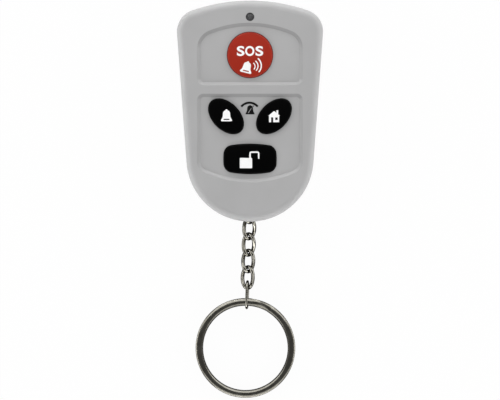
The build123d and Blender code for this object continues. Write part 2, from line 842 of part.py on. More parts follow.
def rf_transistor():
    """Three-lead amplifier transistor."""
    top = board_bottom - chip_standoff
    half_width = transistor_width / 2
    body = block(-transistor_length / 2, transistor_length / 2, -half_width, half_width,
                 top - transistor_height, top)
    lead = block(-transistor_lead_width / 2, transistor_lead_width / 2,
                 half_width - bury, half_width + transistor_lead_reach,
                 top - transistor_lead_thickness, board_bottom)
    for side in (1, -1):
        body += Pos(side * transistor_lead_pitch, 0) * lead
    body += Rot(0, 0, 180) * lead
    return Pos(transistor_x, transistor_y) * body


def small_parts(size, start_x, y, count):
    """A row of chip parts, soldered side by side on the back of the board."""
    length, width, height = size
    piece = Box(width, length, height)
    row = []
    for number in range(count):
        x = start_x + number * small_part_pitch
        row.append(Pos(x, y, board_bottom - height / 2) * piece)
    return Compound([solid for placed in row for solid in placed.solids()])


def antenna_loop():
    """Printed copper loop near the board's edge."""
    inset = side_wall + board_edge_gap + antenna_board_inset
    low = board_bottom - antenna_thickness
    top_y = collar_low_y - antenna_collar_gap
    area = slab(outline(inset), low, board_bottom)
    inside = slab(outline(inset + antenna_width), low - overrun, board_bottom + overrun)
    inside -= block(-body_half_width, body_half_width, -body_length, antenna_y + antenna_width,
                    low - overrun, board_bottom + overrun)
    band = block(-body_half_width, body_half_width, antenna_y, top_y, low, board_bottom)
    return around_bosses((area - inside) & band)


def chain_pin():
    return disc(0, pin_y, pin_radius, pin_low, parting_height)


def biarc_edges(points, tangents):
    """Two tangent arcs between each point and the next."""
    edges = []
    for number in range(len(points) - 1):
        start, end = points[number], points[number + 1]
        start_way, end_way = tangents[number], tangents[number + 1]
        span = end - start
        both = start_way + end_way
        quadratic = 2 * (1 - start_way.dot(end_way))
        linear = 2 * span.dot(both)
        reach = (-linear + math.sqrt(linear ** 2 + 4 * quadratic * span.dot(span))) / (2 * quadratic)
        joint = (start + start_way * reach + end - end_way * reach) / 2
        joint_way = (joint - start).normalized()
        joint_way = joint_way * (2 * joint_way.dot(start_way)) - start_way
        edges.append(TangentArc(start, joint, tangent=start_way))
        edges.append(TangentArc(joint, end, tangent=joint_way))
    return edges


def curb_link():
    """One twisted link, flat in X and Y, long along Y, middle at the origin."""
    points = []
    tangents = []
    for number in range(chain_half_steps + 1):
        angle = math.pi * number / chain_half_steps
        points.append(Vector(link_half_width * math.cos(angle), link_half_length * math.sin(angle),
                             chain_twist * math.sin(2 * angle)))
        way = Vector(-link_half_width * math.sin(angle), link_half_length * math.cos(angle),
                     2 * chain_twist * math.cos(2 * angle))
        tangents.append(way.normalized())
    path = Wire(biarc_edges(points, tangents))
    section = Plane(origin=points[0], z_dir=tangents[0]) * Circle(chain_wire / 2)
    half = sweep(section, path)
    return half + Rot(0, 0, 180) * half


def in_chain(shape):
    """Turns a shape from the chain's straight line to its place about the pin."""
    return Pos(0, pin_y) * Rot(0, 0, -chain_yaw) * Pos(0, -pin_y) * shape


def chain_joints():
    """Middles of the links and the points between them, before the yaw."""
    middles = [(pin_y - chain_pin_offset, slot_middle)]
    knots = [(middles[0][0] - chain_pitch / 2, slot_middle)]
    for pitch in chain_link_pitches[1:]:
        way = (-math.cos(math.radians(pitch)), math.sin(math.radians(pitch)))
        middles.append(along(knots[-1], way, chain_pitch / 2))
        knots.append(along(knots[-1], way, chain_pitch))
    return middles, knots


def connecting_place():
    """Ends of the connecting link's straight sides and its height, before the yaw."""
    last_middle_y = chain_joints()[0][-1][0]
    pitch = math.radians(chain_link_pitches[-1])
    end_y = last_middle_y - link_half_length * math.cos(pitch)
    top_y = end_y + (chain_wire + connecting_wire) / 2 + connecting_play
    high_y = top_y - connecting_radius
    return high_y, high_y - connecting_straight, connecting_inner_radius + connecting_wire


def connecting_link():
    """Oval of round wire on its edge, leaning a little to one side."""
    high_y, low_y, height = connecting_place()
    radius = connecting_radius
    path = Wire([
        ThreePointArc((0, high_y, radius), (0, high_y + radius, 0), (0, high_y, -radius)),
        Line((0, high_y, -radius), (0, low_y, -radius)),
        ThreePointArc((0, low_y, -radius), (0, low_y - radius, 0), (0, low_y, radius)),
        Line((0, low_y, radius), (0, high_y, radius)),
    ])
    section = Plane(origin=(0, high_y, radius), z_dir=(0, 1, 0)) * Circle(connecting_wire / 2)
    oval = sweep(section, path)
    return in_chain(Pos(0, 0, height) * Rot(0, connecting_roll, 0) * oval)


def ring_section(angle, height):
    """The flattened wire's section at an angle round the ring."""
    turned = math.radians(angle)
    centre = (ring_middle_radius * math.cos(turned), ring_middle_radius * math.sin(turned), height)
    plane = Plane(origin=centre, x_dir=(math.cos(turned), math.sin(turned), 0),
                  z_dir=(-math.sin(turned), math.cos(turned), 0))
    return plane * Ellipse(ring_wire_width / 2, ring_wire_height / 2)


def split_ring():
    """Two turns of flattened wire; the step between them is a smooth ramp."""
    arc = 360 - ring_step_angle
    high_angle = ring_step_start + ring_step_angle
    lower = revolve(ring_section(high_angle, -ring_rise), Axis.Z, arc)
    upper = revolve(ring_section(high_angle, ring_rise), Axis.Z, arc)
    sections = []
    for number in range(ring_step_sections):
        share = number / (ring_step_sections - 1)
        height = -ring_rise * math.cos(math.pi * share)
        sections.append(ring_section(ring_step_start + ring_step_angle * share, height))
    ring = lower + upper + loft(sections)
    near_y, near_height = connecting_place()[1:]
    far_height = ring_rise + ring_wire_height / 2 + ring_floor_gap
    tilt = math.degrees(math.asin((near_height - far_height) / (2 * ring_middle_radius)))
    ring = Pos(0, near_y, near_height) * Rot(tilt, 0, 0) * Pos(0, -ring_middle_radius, 0) * ring
    return in_chain(ring)


def save(name, shape):
    shape.label = name
    export_step(shape, os.path.join("parts", name + ".step"))


os.makedirs("parts", exist_ok=True)
save("front_cover", front_cover())
save("back_cover", back_cover())
save("battery_cap", battery_cap())
save("battery_cap_gasket", battery_cap_gasket())
save("coin_cell", coin_cell())
save("cell_negative_spring", cell_negative_spring())
save("cell_positive_clip", cell_positive_clip())
save("circuit_board", circuit_board())
for name, place, shape in buttons:
    save(name + "_button", button(place, shape))
    save(name + "_switch_base", switch_base(place))
    save(name + "_switch_cover", switch_cover(place))
    save(name + "_switch_stem", switch_stem(place))
save("switch_terminals", switch_terminals())
save("indicator_lens", indicator_lens())
save("indicator_led", indicator_led())
save("cover_screws", cover_screws())
save("microcontroller", microcontroller())
save("saw_resonator", saw_resonator())
save("rf_transistor", rf_transistor())
save("chip_resistors", small_parts(resistor_size, resistor_row_x, resistor_y, resistor_row_count))
save("chip_capacitors", small_parts(capacitor_size, capacitor_row_x, capacitor_y, capacitor_row_count))
save("antenna_loop", antenna_loop())
save("chain_pin", chain_pin())
for number, (middle_y, height) in enumerate(chain_joints()[0]):
    turned = Pos(0, middle_y, height) * Rot(-chain_link_pitches[number], 0, 0) * curb_link()
    save("chain_link_" + str(number + 1), in_chain(turned))
save("connecting_link", connecting_link())
save("split_ring", split_ring())
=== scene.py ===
import math

import bpy
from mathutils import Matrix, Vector


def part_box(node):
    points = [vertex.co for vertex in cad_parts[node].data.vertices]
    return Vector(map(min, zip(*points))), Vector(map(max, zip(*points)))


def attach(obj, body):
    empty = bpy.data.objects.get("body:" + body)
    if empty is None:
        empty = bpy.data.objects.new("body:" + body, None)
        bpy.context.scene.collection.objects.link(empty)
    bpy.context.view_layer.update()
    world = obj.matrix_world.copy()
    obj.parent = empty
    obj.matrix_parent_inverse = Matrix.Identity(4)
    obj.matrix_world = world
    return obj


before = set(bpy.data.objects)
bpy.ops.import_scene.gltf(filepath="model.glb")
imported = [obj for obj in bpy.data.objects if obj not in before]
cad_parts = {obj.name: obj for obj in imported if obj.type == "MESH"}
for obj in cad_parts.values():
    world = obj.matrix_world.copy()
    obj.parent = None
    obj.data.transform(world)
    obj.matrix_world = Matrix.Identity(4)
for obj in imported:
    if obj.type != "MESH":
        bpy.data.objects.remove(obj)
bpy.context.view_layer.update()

mm = 0.001

# Camera: straight above the fob, as in the photograph, a long way up with a
# long lens, so that the face and the ring on the floor keep one scale.
photo_width = 125 * mm
camera_height = 2.0
subject_height = 8 * mm
sensor_width = 36.0
view_centre = (0.0, -22.2 * mm)
bpy.ops.object.camera_add(location=(view_centre[0], view_centre[1], camera_height), rotation=(0, 0, 0))
camera = bpy.context.object
camera.name = "camera"
camera.data.sensor_width = sensor_width
camera.data.lens = sensor_width * (camera_height - subject_height) / photo_width
bpy.context.scene.camera = camera
bpy.context.scene.view_settings.view_transform = "Standard"


# Floor: a wide pale sheet that the fob lies on, a hair under it, so that the two
# flat faces never fall together. It glows white for the camera alone, as a bare
# background does, and still takes the fob's soft shadow.
def new_material(name):
    """A fresh node material, with its node tree and its shader."""
    material = bpy.data.materials.new(name)
    material.use_nodes = True
    tree = material.node_tree
    return material, tree, tree.nodes["Principled BSDF"]


floor_size = 6.0
floor_drop = 0.05 * mm
floor_white = (0.85, 0.85, 0.85, 1)
floor_roughness = 0.9
floor_shine = 0.1
floor_glow = 0.965
bpy.ops.object.select_all(action="DESELECT")
bpy.ops.mesh.primitive_plane_add(size=floor_size, location=(0, 0, -floor_drop))
floor = bpy.context.object
floor.name = "floor"
floor_paper, tree, shader = new_material("floor_paper")
shader.inputs["Base Color"].default_value = floor_white
shader.inputs["Roughness"].default_value = floor_roughness
shader.inputs["Specular IOR Level"].default_value = floor_shine
ray = tree.nodes.new("ShaderNodeLightPath")
glow = tree.nodes.new("ShaderNodeEmission")
glow_share = tree.nodes.new("ShaderNodeMath")
glow_share.operation = "MULTIPLY"
glow_share.inputs[1].default_value = floor_glow
mix = tree.nodes.new("ShaderNodeMixShader")
tree.links.new(ray.outputs["Is Camera Ray"], glow_share.inputs[0])
tree.links.new(glow_share.outputs[0], mix.inputs["Fac"])
tree.links.new(shader.outputs[0], mix.inputs[1])
tree.links.new(glow.outputs[0], mix.inputs[2])
tree.links.new(mix.outputs[0], tree.nodes["Material Output"].inputs["Surface"])
floor.data.materials.append(floor_paper)

# Light tent: a white cloth all round, bright low down and dim round the camera.
# Its levels go from the floor line to straight above.
tent_levels = [(0.0, 1.0), (0.2, 0.95), (0.4, 0.4), (0.7, 0.12), (0.93, 0.06), (1.0, 0.06)]
world = bpy.data.worlds.new("tent")
bpy.context.scene.world = world
world.use_nodes = True
tree = world.node_tree
place = tree.nodes.new("ShaderNodeTexCoord")
direction = tree.nodes.new("ShaderNodeSeparateXYZ")
ramp = tree.nodes.new("ShaderNodeValToRGB")
tree.links.new(place.outputs["Generated"], direction.inputs[0])
tree.links.new(direction.outputs["Z"], ramp.inputs["Fac"])
ramp.color_ramp.elements[0].position = tent_levels[0][0]
ramp.color_ramp.elements[1].position = tent_levels[-1][0]
for height, level in tent_levels[1:-1]:
    ramp.color_ramp.elements.new(height)
for element, (height, level) in zip(ramp.color_ramp.elements, tent_levels):
    element.position = height
    element.color = (level, level, level, 1)
tree.links.new(ramp.outputs["Color"], tree.nodes["Background"].inputs["Color"])

# Soft boxes: large cloth-fronted lamps at the top end, both sides and the foot,
# all turned to the fob, which lift its rounded edges. Each has its name, place,
# width and height in metres, and power in watts.
soft_boxes = [
    ("soft_box_top", (0, 0.55, 0.19), (0.9, 0.2), 2.9),
    ("soft_box_high", (0, 0.31, 0.51), (1.1, 0.44), 1.2),
    ("soft_box_left", (-0.55, -0.02, 0.16), (0.7, 0.2), 1.7),
    ("soft_box_right", (0.55, -0.02, 0.16), (0.7, 0.2), 1.5),
    ("soft_box_foot", (0, -0.58, 0.17), (0.8, 0.16), 2.1),
    ("soft_box_foot_high", (0, -0.42, 0.42), (1.0, 0.26), 0.4),
]
lamp_target = Vector((0, 0, 0.01))
for name, place, size, power in soft_boxes:
    bpy.ops.object.light_add(type="AREA", location=place)
    lamp = bpy.context.object
    lamp.name = name
    lamp.data.shape = "RECTANGLE"
    lamp.data.size, lamp.data.size_y = size
    lamp.data.energy = power
    lamp.rotation_euler = (lamp_target - Vector(place)).to_track_quat("-Z", "Y").to_euler()

# Covers and battery cap: injection-moulded in light grey plastic, with the fine
# matt grain of a spark-eroded mould. Screws hold the two covers together from
# the back, and the cap turns shut in the back cover.
fine_detail = 2.0
tint_start, tint_end = 0.3, 0.7
flow_scale, flow_detail = 90.0, 3.0
flow_dark, flow_light = 0.965, 1.03
plastic_shine = 0.4


def dress(nodes, material):
    """Gives the CAD nodes this material alone."""
    for name in nodes:
        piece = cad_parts[name]
        piece.data.materials.clear()
        piece.data.materials.append(material)


def object_noise(tree, scale, detail=fine_detail, stretch=None):
    """Noise on the object's own coordinates, in metres; stretch draws it out."""
    place = tree.nodes.new("ShaderNodeTexCoord")
    noise = tree.nodes.new("ShaderNodeTexNoise")
    noise.inputs["Scale"].default_value = scale
    noise.inputs["Detail"].default_value = detail
    source = place.outputs["Object"]
    if stretch:
        mapping = tree.nodes.new("ShaderNodeMapping")
        mapping.inputs["Scale"].default_value = stretch
        tree.links.new(source, mapping.inputs["Vector"])
        source = mapping.outputs["Vector"]
    tree.links.new(source, noise.inputs["Vector"])
    return noise.outputs["Fac"]


def vary(tree, value, limits, socket):
    """Drives a number socket between two limits by a value from 0 to 1."""
    span = tree.nodes.new("ShaderNodeMapRange")
    span.inputs["To Min"].default_value = limits[0]
    span.inputs["To Max"].default_value = limits[1]
    tree.links.new(value, span.inputs["Value"])
    tree.links.new(span.outputs[0], socket)


def tint(tree, value, dark, light, socket):
    """Drives a colour socket from a dark to a light colour by a value near its middle."""
    ramp = tree.nodes.new("ShaderNodeValToRGB")
    ramp.color_ramp.elements[0].position = tint_start
    ramp.color_ramp.elements[1].position = tint_end
    ramp.color_ramp.elements[0].color = dark
    ramp.color_ramp.elements[1].color = light
    tree.links.new(value, ramp.inputs["Fac"])
    tree.links.new(ramp.outputs["Color"], socket)


def grain(tree, shader, value, depth):
    """Bumps the surface by a value, to a depth in metres."""
    bump = tree.nodes.new("ShaderNodeBump")
    bump.inputs["Distance"].default_value = depth
    tree.links.new(value, bump.inputs["Height"])
    tree.links.new(bump.outputs["Normal"], shader.inputs["Normal"])


def shaded(colour, factor):
    """The colour, darker or lighter by a factor."""
    return tuple(channel * factor for channel in colour[:3]) + (1,)


def moulded_plastic(name, colour, gloss, grain_scale, grain_depth, shine=plastic_shine):
    """Moulded plastic: even colour with faint flow marks and a matt grain."""
    material, tree, shader = new_material(name)
    flow = object_noise(tree, flow_scale, flow_detail)
    tint(tree, flow, shaded(colour, flow_dark), shaded(colour, flow_light), shader.inputs["Base Color"])
    fine = object_noise(tree, grain_scale)
    vary(tree, fine, gloss, shader.inputs["Roughness"])
    grain(tree, shader, fine, grain_depth)
    shader.inputs["Specular IOR Level"].default_value = shine
    return material


def paint_shade_inward(material, middle, start_reach, full_reach, depth):
    """Paints shade into the colour of slopes that face a middle point: painted shade. A slope's reach
    is how far it lies from that point, times how squarely it faces it."""
    tree = material.node_tree
    place = tree.nodes.new("ShaderNodeTexCoord")
    offset = tree.nodes.new("ShaderNodeVectorMath")
    offset.operation = "SUBTRACT"
    offset.inputs[1].default_value = (middle[0], middle[1], 0)
    level = tree.nodes.new("ShaderNodeVectorMath")
    level.operation = "MULTIPLY"
    level.inputs[1].default_value = (1, 1, 0)
    inward = tree.nodes.new("ShaderNodeVectorMath")
    inward.operation = "DOT_PRODUCT"
    tree.links.new(place.outputs["Object"], offset.inputs[0])
    tree.links.new(offset.outputs[0], level.inputs[0])
    tree.links.new(level.outputs[0], inward.inputs[0])
    tree.links.new(place.outputs["Normal"], inward.inputs[1])
    share = tree.nodes.new("ShaderNodeMapRange")
    share.inputs["From Min"].default_value = -start_reach
    share.inputs["From Max"].default_value = -full_reach
    share.inputs["To Min"].default_value = 1
    share.inputs["To Max"].default_value = 1 - depth
    tree.links.new(inward.outputs["Value"], share.inputs["Value"])
    colour = tree.nodes["Principled BSDF"].inputs["Base Color"]
    plain = colour.links[0].from_socket
    darker = tree.nodes.new("ShaderNodeVectorMath")
    darker.operation = "SCALE"
    tree.links.new(plain, darker.inputs[0])
    tree.links.new(share.outputs[0], darker.inputs["Scale"])
    tree.links.new(darker.outputs[0], colour)


cover_grey = (0.413, 0.412, 0.414, 1)
cover_gloss = (0.42, 0.6)
cover_grain_scale = 5200.0
cover_grain_depth = 0.006 * mm
# The panels' walls that face their middle are darker in colour: painted shade, standing in for the shade that
# falls on them.
panel_middle = (0, -20 * mm)
panel_wall_reach = 9.6 * mm
panel_wall_shade = 0.28
cover_plastic = moulded_plastic("cover_plastic", cover_grey, cover_gloss, cover_grain_scale,
                                cover_grain_depth)
paint_shade_inward(cover_plastic, panel_middle, 0, panel_wall_reach, panel_wall_shade)
dress(["front_cover", "back_cover", "battery_cap"], cover_plastic)

# Battery cap's gasket: a flat ring of soft black rubber, cut from sheet, that
# the cap's rim squeezes when it is turned shut.
gasket_speck_scale = 3000.0
gasket_dark = (0.012, 0.012, 0.012, 1)
gasket_light = (0.025, 0.025, 0.026, 1)
gasket_gloss = (0.7, 0.85)
gasket_grain_depth = 0.01 * mm
gasket_rubber, tree, shader = new_material("gasket_rubber")
speck = object_noise(tree, gasket_speck_scale)
tint(tree, speck, gasket_dark, gasket_light, shader.inputs["Base Color"])
vary(tree, speck, gasket_gloss, shader.inputs["Roughness"])
grain(tree, shader, speck, gasket_grain_depth)
dress(["battery_cap_gasket"], gasket_rubber)

# Cover screws: four cross-slotted screws of zinc-plated steel, driven in from
# the back. The plating keeps fine turning lines along each screw.
line_scale, line_detail = 1600.0, 3.0
line_dark, line_light = 0.9, 1.05


def bright_metal(name, colour, gloss, stretch, depth):
    """Bare or plated metal with fine lines drawn along one way."""
    material, tree, shader = new_material(name)
    shader.inputs["Metallic"].default_value = 1
    lines = object_noise(tree, line_scale, line_detail, stretch)
    tint(tree, lines, shaded(colour, line_dark), shaded(colour, line_light), shader.inputs["Base Color"])
    vary(tree, lines, gloss, shader.inputs["Roughness"])
    grain(tree, shader, lines, depth)
    return material


screw_steel = (0.52, 0.53, 0.55, 1)
screw_gloss = (0.28, 0.42)
screw_lines = (1, 1, 0.3)
screw_line_depth = 0.002 * mm
dress(["cover_screws"], bright_metal("screw_steel", screw_steel, screw_gloss, screw_lines, screw_line_depth))

# Coin cell and its contacts: a drawn can of bright stainless steel, and two
# springy strips of nickel-plated bronze, bent up and soldered to the board.
drawn_line_depth = 0.001 * mm
cell_steel = (0.60, 0.60, 0.59, 1)
cell_gloss = (0.22, 0.36)
cell_lines = (1, 0.06, 1)
dress(["coin_cell"], bright_metal("cell_steel", cell_steel, cell_gloss, cell_lines, drawn_line_depth))
contact_bronze = (0.66, 0.62, 0.50, 1)
contact_gloss = (0.25, 0.38)
rolled_lines = (1, 0.1, 1)
contact_metal = bright_metal("contact_metal", contact_bronze, contact_gloss, rolled_lines, drawn_line_depth)
dress(["cell_negative_spring", "cell_positive_clip"], contact_metal)

# Circuit board and aerial: glass-fibre board under green solder mask, with
# copper tracks that show through as slightly lighter lines, and a bare copper
# loop etched on its underside.
track_scale = 260.0
track_width_share = 0.06
mask_green = (0.018, 0.095, 0.035, 1)
mask_deep_green = (0.015, 0.085, 0.032, 1)
track_green = (0.035, 0.15, 0.06, 1)
weave_scale = 2400.0
mask_gloss = (0.25, 0.4)
weave_depth = 0.004 * mm
board_mask, tree, shader = new_material("board_mask")
place = tree.nodes.new("ShaderNodeTexCoord")
tracks = tree.nodes.new("ShaderNodeTexBrick")
tracks.inputs["Scale"].default_value = track_scale
tracks.inputs["Mortar Size"].default_value = track_width_share
tracks.inputs["Color1"].default_value = mask_green
tracks.inputs["Color2"].default_value = mask_deep_green
tracks.inputs["Mortar"].default_value = track_green
tree.links.new(place.outputs["Object"], tracks.inputs["Vector"])
tree.links.new(tracks.outputs["Color"], shader.inputs["Base Color"])
weave = object_noise(tree, weave_scale)
vary(tree, weave, mask_gloss, shader.inputs["Roughness"])
grain(tree, shader, weave, weave_depth)
dress(["circuit_board"], board_mask)
copper = (0.62, 0.30, 0.16, 1)
copper_gloss = (0.3, 0.45)
no_lines = (1, 1, 1)
dress(["antenna_loop"], bright_metal("copper_track", copper, copper_gloss, no_lines, drawn_line_depth))

# Tactile switches: black moulded bases and stems under pressed cover plates of
# bright steel, with tinned feet soldered to the board.
keys = ("sos", "arm", "home", "disarm")
plate_steel = (0.62, 0.61, 0.58, 1)
plate_gloss = (0.25, 0.4)
plate_lines = (0.08, 1, 1)
switch_plate = bright_metal("switch_plate", plate_steel, plate_gloss, plate_lines, drawn_line_depth)
dress([key + "_switch_cover" for key in keys], switch_plate)
switch_black = (0.012, 0.012, 0.013, 1)
switch_gloss = (0.4, 0.55)
switch_grain_scale = 6000.0
resin_grain_depth = 0.004 * mm
switch_plastic = moulded_plastic("switch_plastic", switch_black, switch_gloss, switch_grain_scale,
                                 resin_grain_depth)
dress([key + piece for key in keys for piece in ("_switch_base", "_switch_stem")], switch_plastic)
tin = (0.55, 0.56, 0.58, 1)
tin_gloss = (0.3, 0.5)
tin_ripple_depth = 0.004 * mm
dress(["switch_terminals"], bright_metal("solder_tin", tin, tin_gloss, no_lines, tin_ripple_depth))

# Small parts on the board: chips in black moulded resin, glazed resistors,
# capacitors of fired ceramic, and the resonator's rolled steel can, all soldered.
chip_black = (0.014, 0.014, 0.015, 1)
chip_gloss = (0.5, 0.65)
chip_grain_scale = 8000.0
chip_resin = moulded_plastic("chip_resin", chip_black, chip_gloss, chip_grain_scale, resin_grain_depth)
dress(["microcontroller", "rf_transistor"], chip_resin)
glaze_black = (0.018, 0.018, 0.022, 1)
glaze_gloss = (0.2, 0.35)
glaze_grain_scale = 4000.0
glaze_grain_depth = 0.002 * mm
resistor_film = moulded_plastic("resistor_film", glaze_black, glaze_gloss, glaze_grain_scale,
                                glaze_grain_depth)
dress(["chip_resistors"], resistor_film)
ceramic_brown = (0.32, 0.22, 0.12, 1)
ceramic_gloss = (0.5, 0.7)
ceramic_grain_scale = 7000.0
ceramic_grain_depth = 0.003 * mm
ceramic = moulded_plastic("capacitor_ceramic", ceramic_brown, ceramic_gloss, ceramic_grain_scale,
                          ceramic_grain_depth)
dress(["chip_capacitors"], ceramic)
can_steel = (0.62, 0.62, 0.62, 1)
can_gloss = (0.25, 0.4)
dress(["saw_resonator"], bright_metal("resonator_can", can_steel, can_gloss, rolled_lines, drawn_line_depth))

# Indicator: a smoky clear light pipe with a domed end, pressed into the hole at
# the top of the face, over a small white light source on the board.
smoke_speck_scale, smoke_detail = 2600.0, 4.0
smoke_dark = (0.08, 0.08, 0.083, 1)
smoke_light = (0.18, 0.18, 0.185, 1)
smoke_gloss = (0.08, 0.2)
smoke_clearness = 0.35
clear_plastic_index = 1.49
lens_smoke, tree, shader = new_material("lens_smoke")
speck = object_noise(tree, smoke_speck_scale, smoke_detail)
tint(tree, speck, smoke_dark, smoke_light, shader.inputs["Base Color"])
vary(tree, speck, smoke_gloss, shader.inputs["Roughness"])
shader.inputs["Transmission Weight"].default_value = smoke_clearness
shader.inputs["IOR"].default_value = clear_plastic_index
dress(["indicator_lens"], lens_smoke)
led_cream = (0.62, 0.58, 0.45, 1)
led_gloss = (0.2, 0.35)
led_grain_scale = 3000.0
led_grain_depth = 0.002 * mm
dress(["indicator_led"], moulded_plastic("led_body", led_cream, led_gloss, led_grain_scale, led_grain_depth))

# Push buttons: one red and three black, moulded in satin plastic, each with a
# low crown and a rounded rim, and held behind the face by a flange.
button_grain_scale = 5600.0
button_grain_depth = 0.004 * mm
button_red = (0.335, 0.021, 0.0085, 1)
button_red_shine = 0.25
button_deep_black = (0.0006, 0.0006, 0.0007, 1)
button_black_shine = 0.05
button_gloss = (0.34, 0.46)
sos_red = moulded_plastic("sos_red", button_red, button_gloss, button_grain_scale, button_grain_depth,
                          button_red_shine)
button_black = moulded_plastic("button_black", button_deep_black, button_gloss, button_grain_scale,
                               button_grain_depth, button_black_shine)
dress(["sos_button"], sos_red)
dress(["arm_button", "home_button", "disarm_button"], button_black)

# Lettering on the red button: three bold letters pad-printed in white ink, a
# thin film that follows the crown. Each letter is stretched between its own left
# and right limits and a shared foot and head, all in millimetres.
crown_radius = 60 * mm
ink_thickness = 0.03 * mm
ink_lift_share = 0.25
film_merge = 0.0005 * mm
film_cuts = 2
ink_speck_scale = 3500.0


def lay_film(piece, ground, crowned):
    """Cuts the film finely and lays it on a button's crown, or on a level panel."""
    bpy.ops.object.select_all(action="DESELECT")
    piece.select_set(True)
    bpy.context.view_layer.objects.active = piece
    bpy.ops.object.transform_apply(location=True, rotation=True, scale=True)
    bpy.ops.object.mode_set(mode="EDIT")
    bpy.ops.mesh.select_all(action="SELECT")
    bpy.ops.mesh.remove_doubles(threshold=film_merge)
    bpy.ops.mesh.quads_convert_to_tris()
    bpy.ops.mesh.subdivide(number_cuts=film_cuts)
    bpy.ops.mesh.normals_make_consistent(inside=False)
    bpy.ops.object.mode_set(mode="OBJECT")
    centre_x, centre_y, top = ground
    for vertex in piece.data.vertices:
        away = math.hypot(vertex.co.x - centre_x, vertex.co.y - centre_y)
        drop = crown_radius - math.sqrt(crown_radius ** 2 - away ** 2) if crowned else 0
        vertex.co.z += top - drop + ink_thickness * ink_lift_share


def finish_film(piece, ink, body):
    """Gives the film its ink and the body that carries it."""
    piece.data.materials.clear()
    piece.data.materials.append(ink)
    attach(piece, body)


def button_ground(name):
    """The middle of a button and the height of its top."""
    low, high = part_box(name)
    return ((low.x + high.x) / 2, (low.y + high.y) / 2, high.z)


def join_films(pieces):
    """Makes several films one piece, which keeps the first one's name."""
    bpy.ops.object.select_all(action="DESELECT")
    for piece in pieces:
        piece.select_set(True)
    bpy.context.view_layer.objects.active = pieces[0]
    bpy.ops.object.join()
    return pieces[0]


white_ink_dark = (0.93, 0.93, 0.93, 1)
white_ink_light = (0.98, 0.98, 0.98, 1)
white_ink_gloss = (0.45, 0.6)
white_ink, tree, shader = new_material("white_ink")
speck = object_noise(tree, ink_speck_scale)
tint(tree, speck, white_ink_dark, white_ink_light, shader.inputs["Base Color"])
vary(tree, speck, white_ink_gloss, shader.inputs["Roughness"])

letter_limits = [("S", -3.28, -1.38), ("O", -1.20, 1.08), ("S", 1.36, 3.30)]
letter_foot, letter_head = 13.72, 16.20
letter_size = 3.2 * mm
letter_boldness = 0.085 * mm
letter_smoothness = 6
letters = []
for letter, left, right in letter_limits:
    bpy.ops.object.select_all(action="DESELECT")
    bpy.ops.object.text_add(location=(0, 0, 0))
    drawing = bpy.context.object
    drawing.data.body = letter
    drawing.data.size = letter_size
    drawing.data.offset = letter_boldness
    drawing.data.extrude = ink_thickness / 2
    drawing.data.resolution_u = letter_smoothness
    bpy.ops.object.convert(target="MESH")
    drawing = bpy.context.object
    low = [min(vertex.co[axis] for vertex in drawing.data.vertices) for axis in (0, 1)]
    high = [max(vertex.co[axis] for vertex in drawing.data.vertices) for axis in (0, 1)]
    stretch_x = (right - left) * mm / (high[0] - low[0])
    stretch_y = (letter_head - letter_foot) * mm / (high[1] - low[1])
    drawing.scale = (stretch_x, stretch_y, 1)
    drawing.location = (left * mm - stretch_x * low[0], letter_foot * mm - stretch_y * low[1], 0)
    bpy.ops.object.transform_apply(location=True, rotation=True, scale=True)
    letters.append(drawing)
sos_lettering = join_films(letters)
sos_lettering.name = "sos_lettering"
lay_film(sos_lettering, button_ground("sos_button"), True)
finish_film(sos_lettering, white_ink, "sos_button")

# Alarm bell on the red button: printed in the same white ink, tilted to the
# right, with a slit over its foot and three sound waves. Outlines are in
# millimetres.
arc_steps = 12


def flat_outline(name, loops):
    """A filled flat mesh from closed loops of points in mm; inner loops are holes."""
    bpy.ops.object.select_all(action="DESELECT")
    bpy.ops.curve.primitive_bezier_circle_add()
    drawing = bpy.context.object
    drawing.name = name
    shape = drawing.data
    shape.splines.clear()
    shape.dimensions = "2D"
    shape.fill_mode = "BOTH"
    shape.extrude = ink_thickness / 2
    for loop in loops:
        line = shape.splines.new("POLY")
        line.points.add(len(loop) - 1)
        for point, (x, y) in zip(line.points, loop):
            point.co = (x * mm, y * mm, 0, 1)
        line.use_cyclic_u = True
    bpy.ops.object.convert(target="MESH")
    return bpy.context.object


def turned(points, angle, centre):
    """Points turned about a centre, counter-clockwise in degrees."""
    cos, sin = math.cos(math.radians(angle)), math.sin(math.radians(angle))
    return [(centre[0] + (x - centre[0]) * cos - (y - centre[1]) * sin,
             centre[1] + (x - centre[0]) * sin + (y - centre[1]) * cos) for x, y in points]


def placed(points, place, stretch=(1, 1)):
    """Points drawn about zero, stretched and moved to a place."""
    return [(place[0] + x * stretch[0], place[1] + y * stretch[1]) for x, y in points]


def mirrored(half):
    """A closed outline from its right half, given from the top down."""
    return half + [(-x, y) for x, y in reversed(half)]


def arc(centre, radius, start, end, steps=arc_steps):
    """Points round a centre from one angle to another, in degrees."""
    points = []
    for number in range(steps + 1):
        angle = math.radians(start + (end - start) * number / steps)
        points.append((centre[0] + radius * math.cos(angle), centre[1] + radius * math.sin(angle)))
    return points


def band(centre, radius, width, start, end):
    """A curved stroke of even width, as one closed loop."""
    outer = arc(centre, radius + width / 2, start, end)
    inner = arc(centre, radius - width / 2, end, start)
    return outer + inner


bell_half = [
    (0.12, 1.52), (0.24, 1.44), (0.26, 1.28), (0.52, 1.20), (0.78, 1.04),
    (0.94, 0.80), (1.02, 0.48), (1.05, 0.10), (1.10, -0.28), (1.22, -0.60),
    (1.42, -0.88), (1.56, -1.08), (1.58, -1.24), (1.46, -1.38), (1.20, -1.42),
]
bell_slit = [(-0.80, -1.10), (0.80, -1.10), (0.80, -0.82), (-0.80, -0.82)]


def bell(name, place, stretch, angle):
    """A bell with a slit over its foot, about its middle."""
    loops = [turned(placed(loop, place, stretch), angle, place) for loop in (mirrored(bell_half), bell_slit)]
    return flat_outline(name, loops)


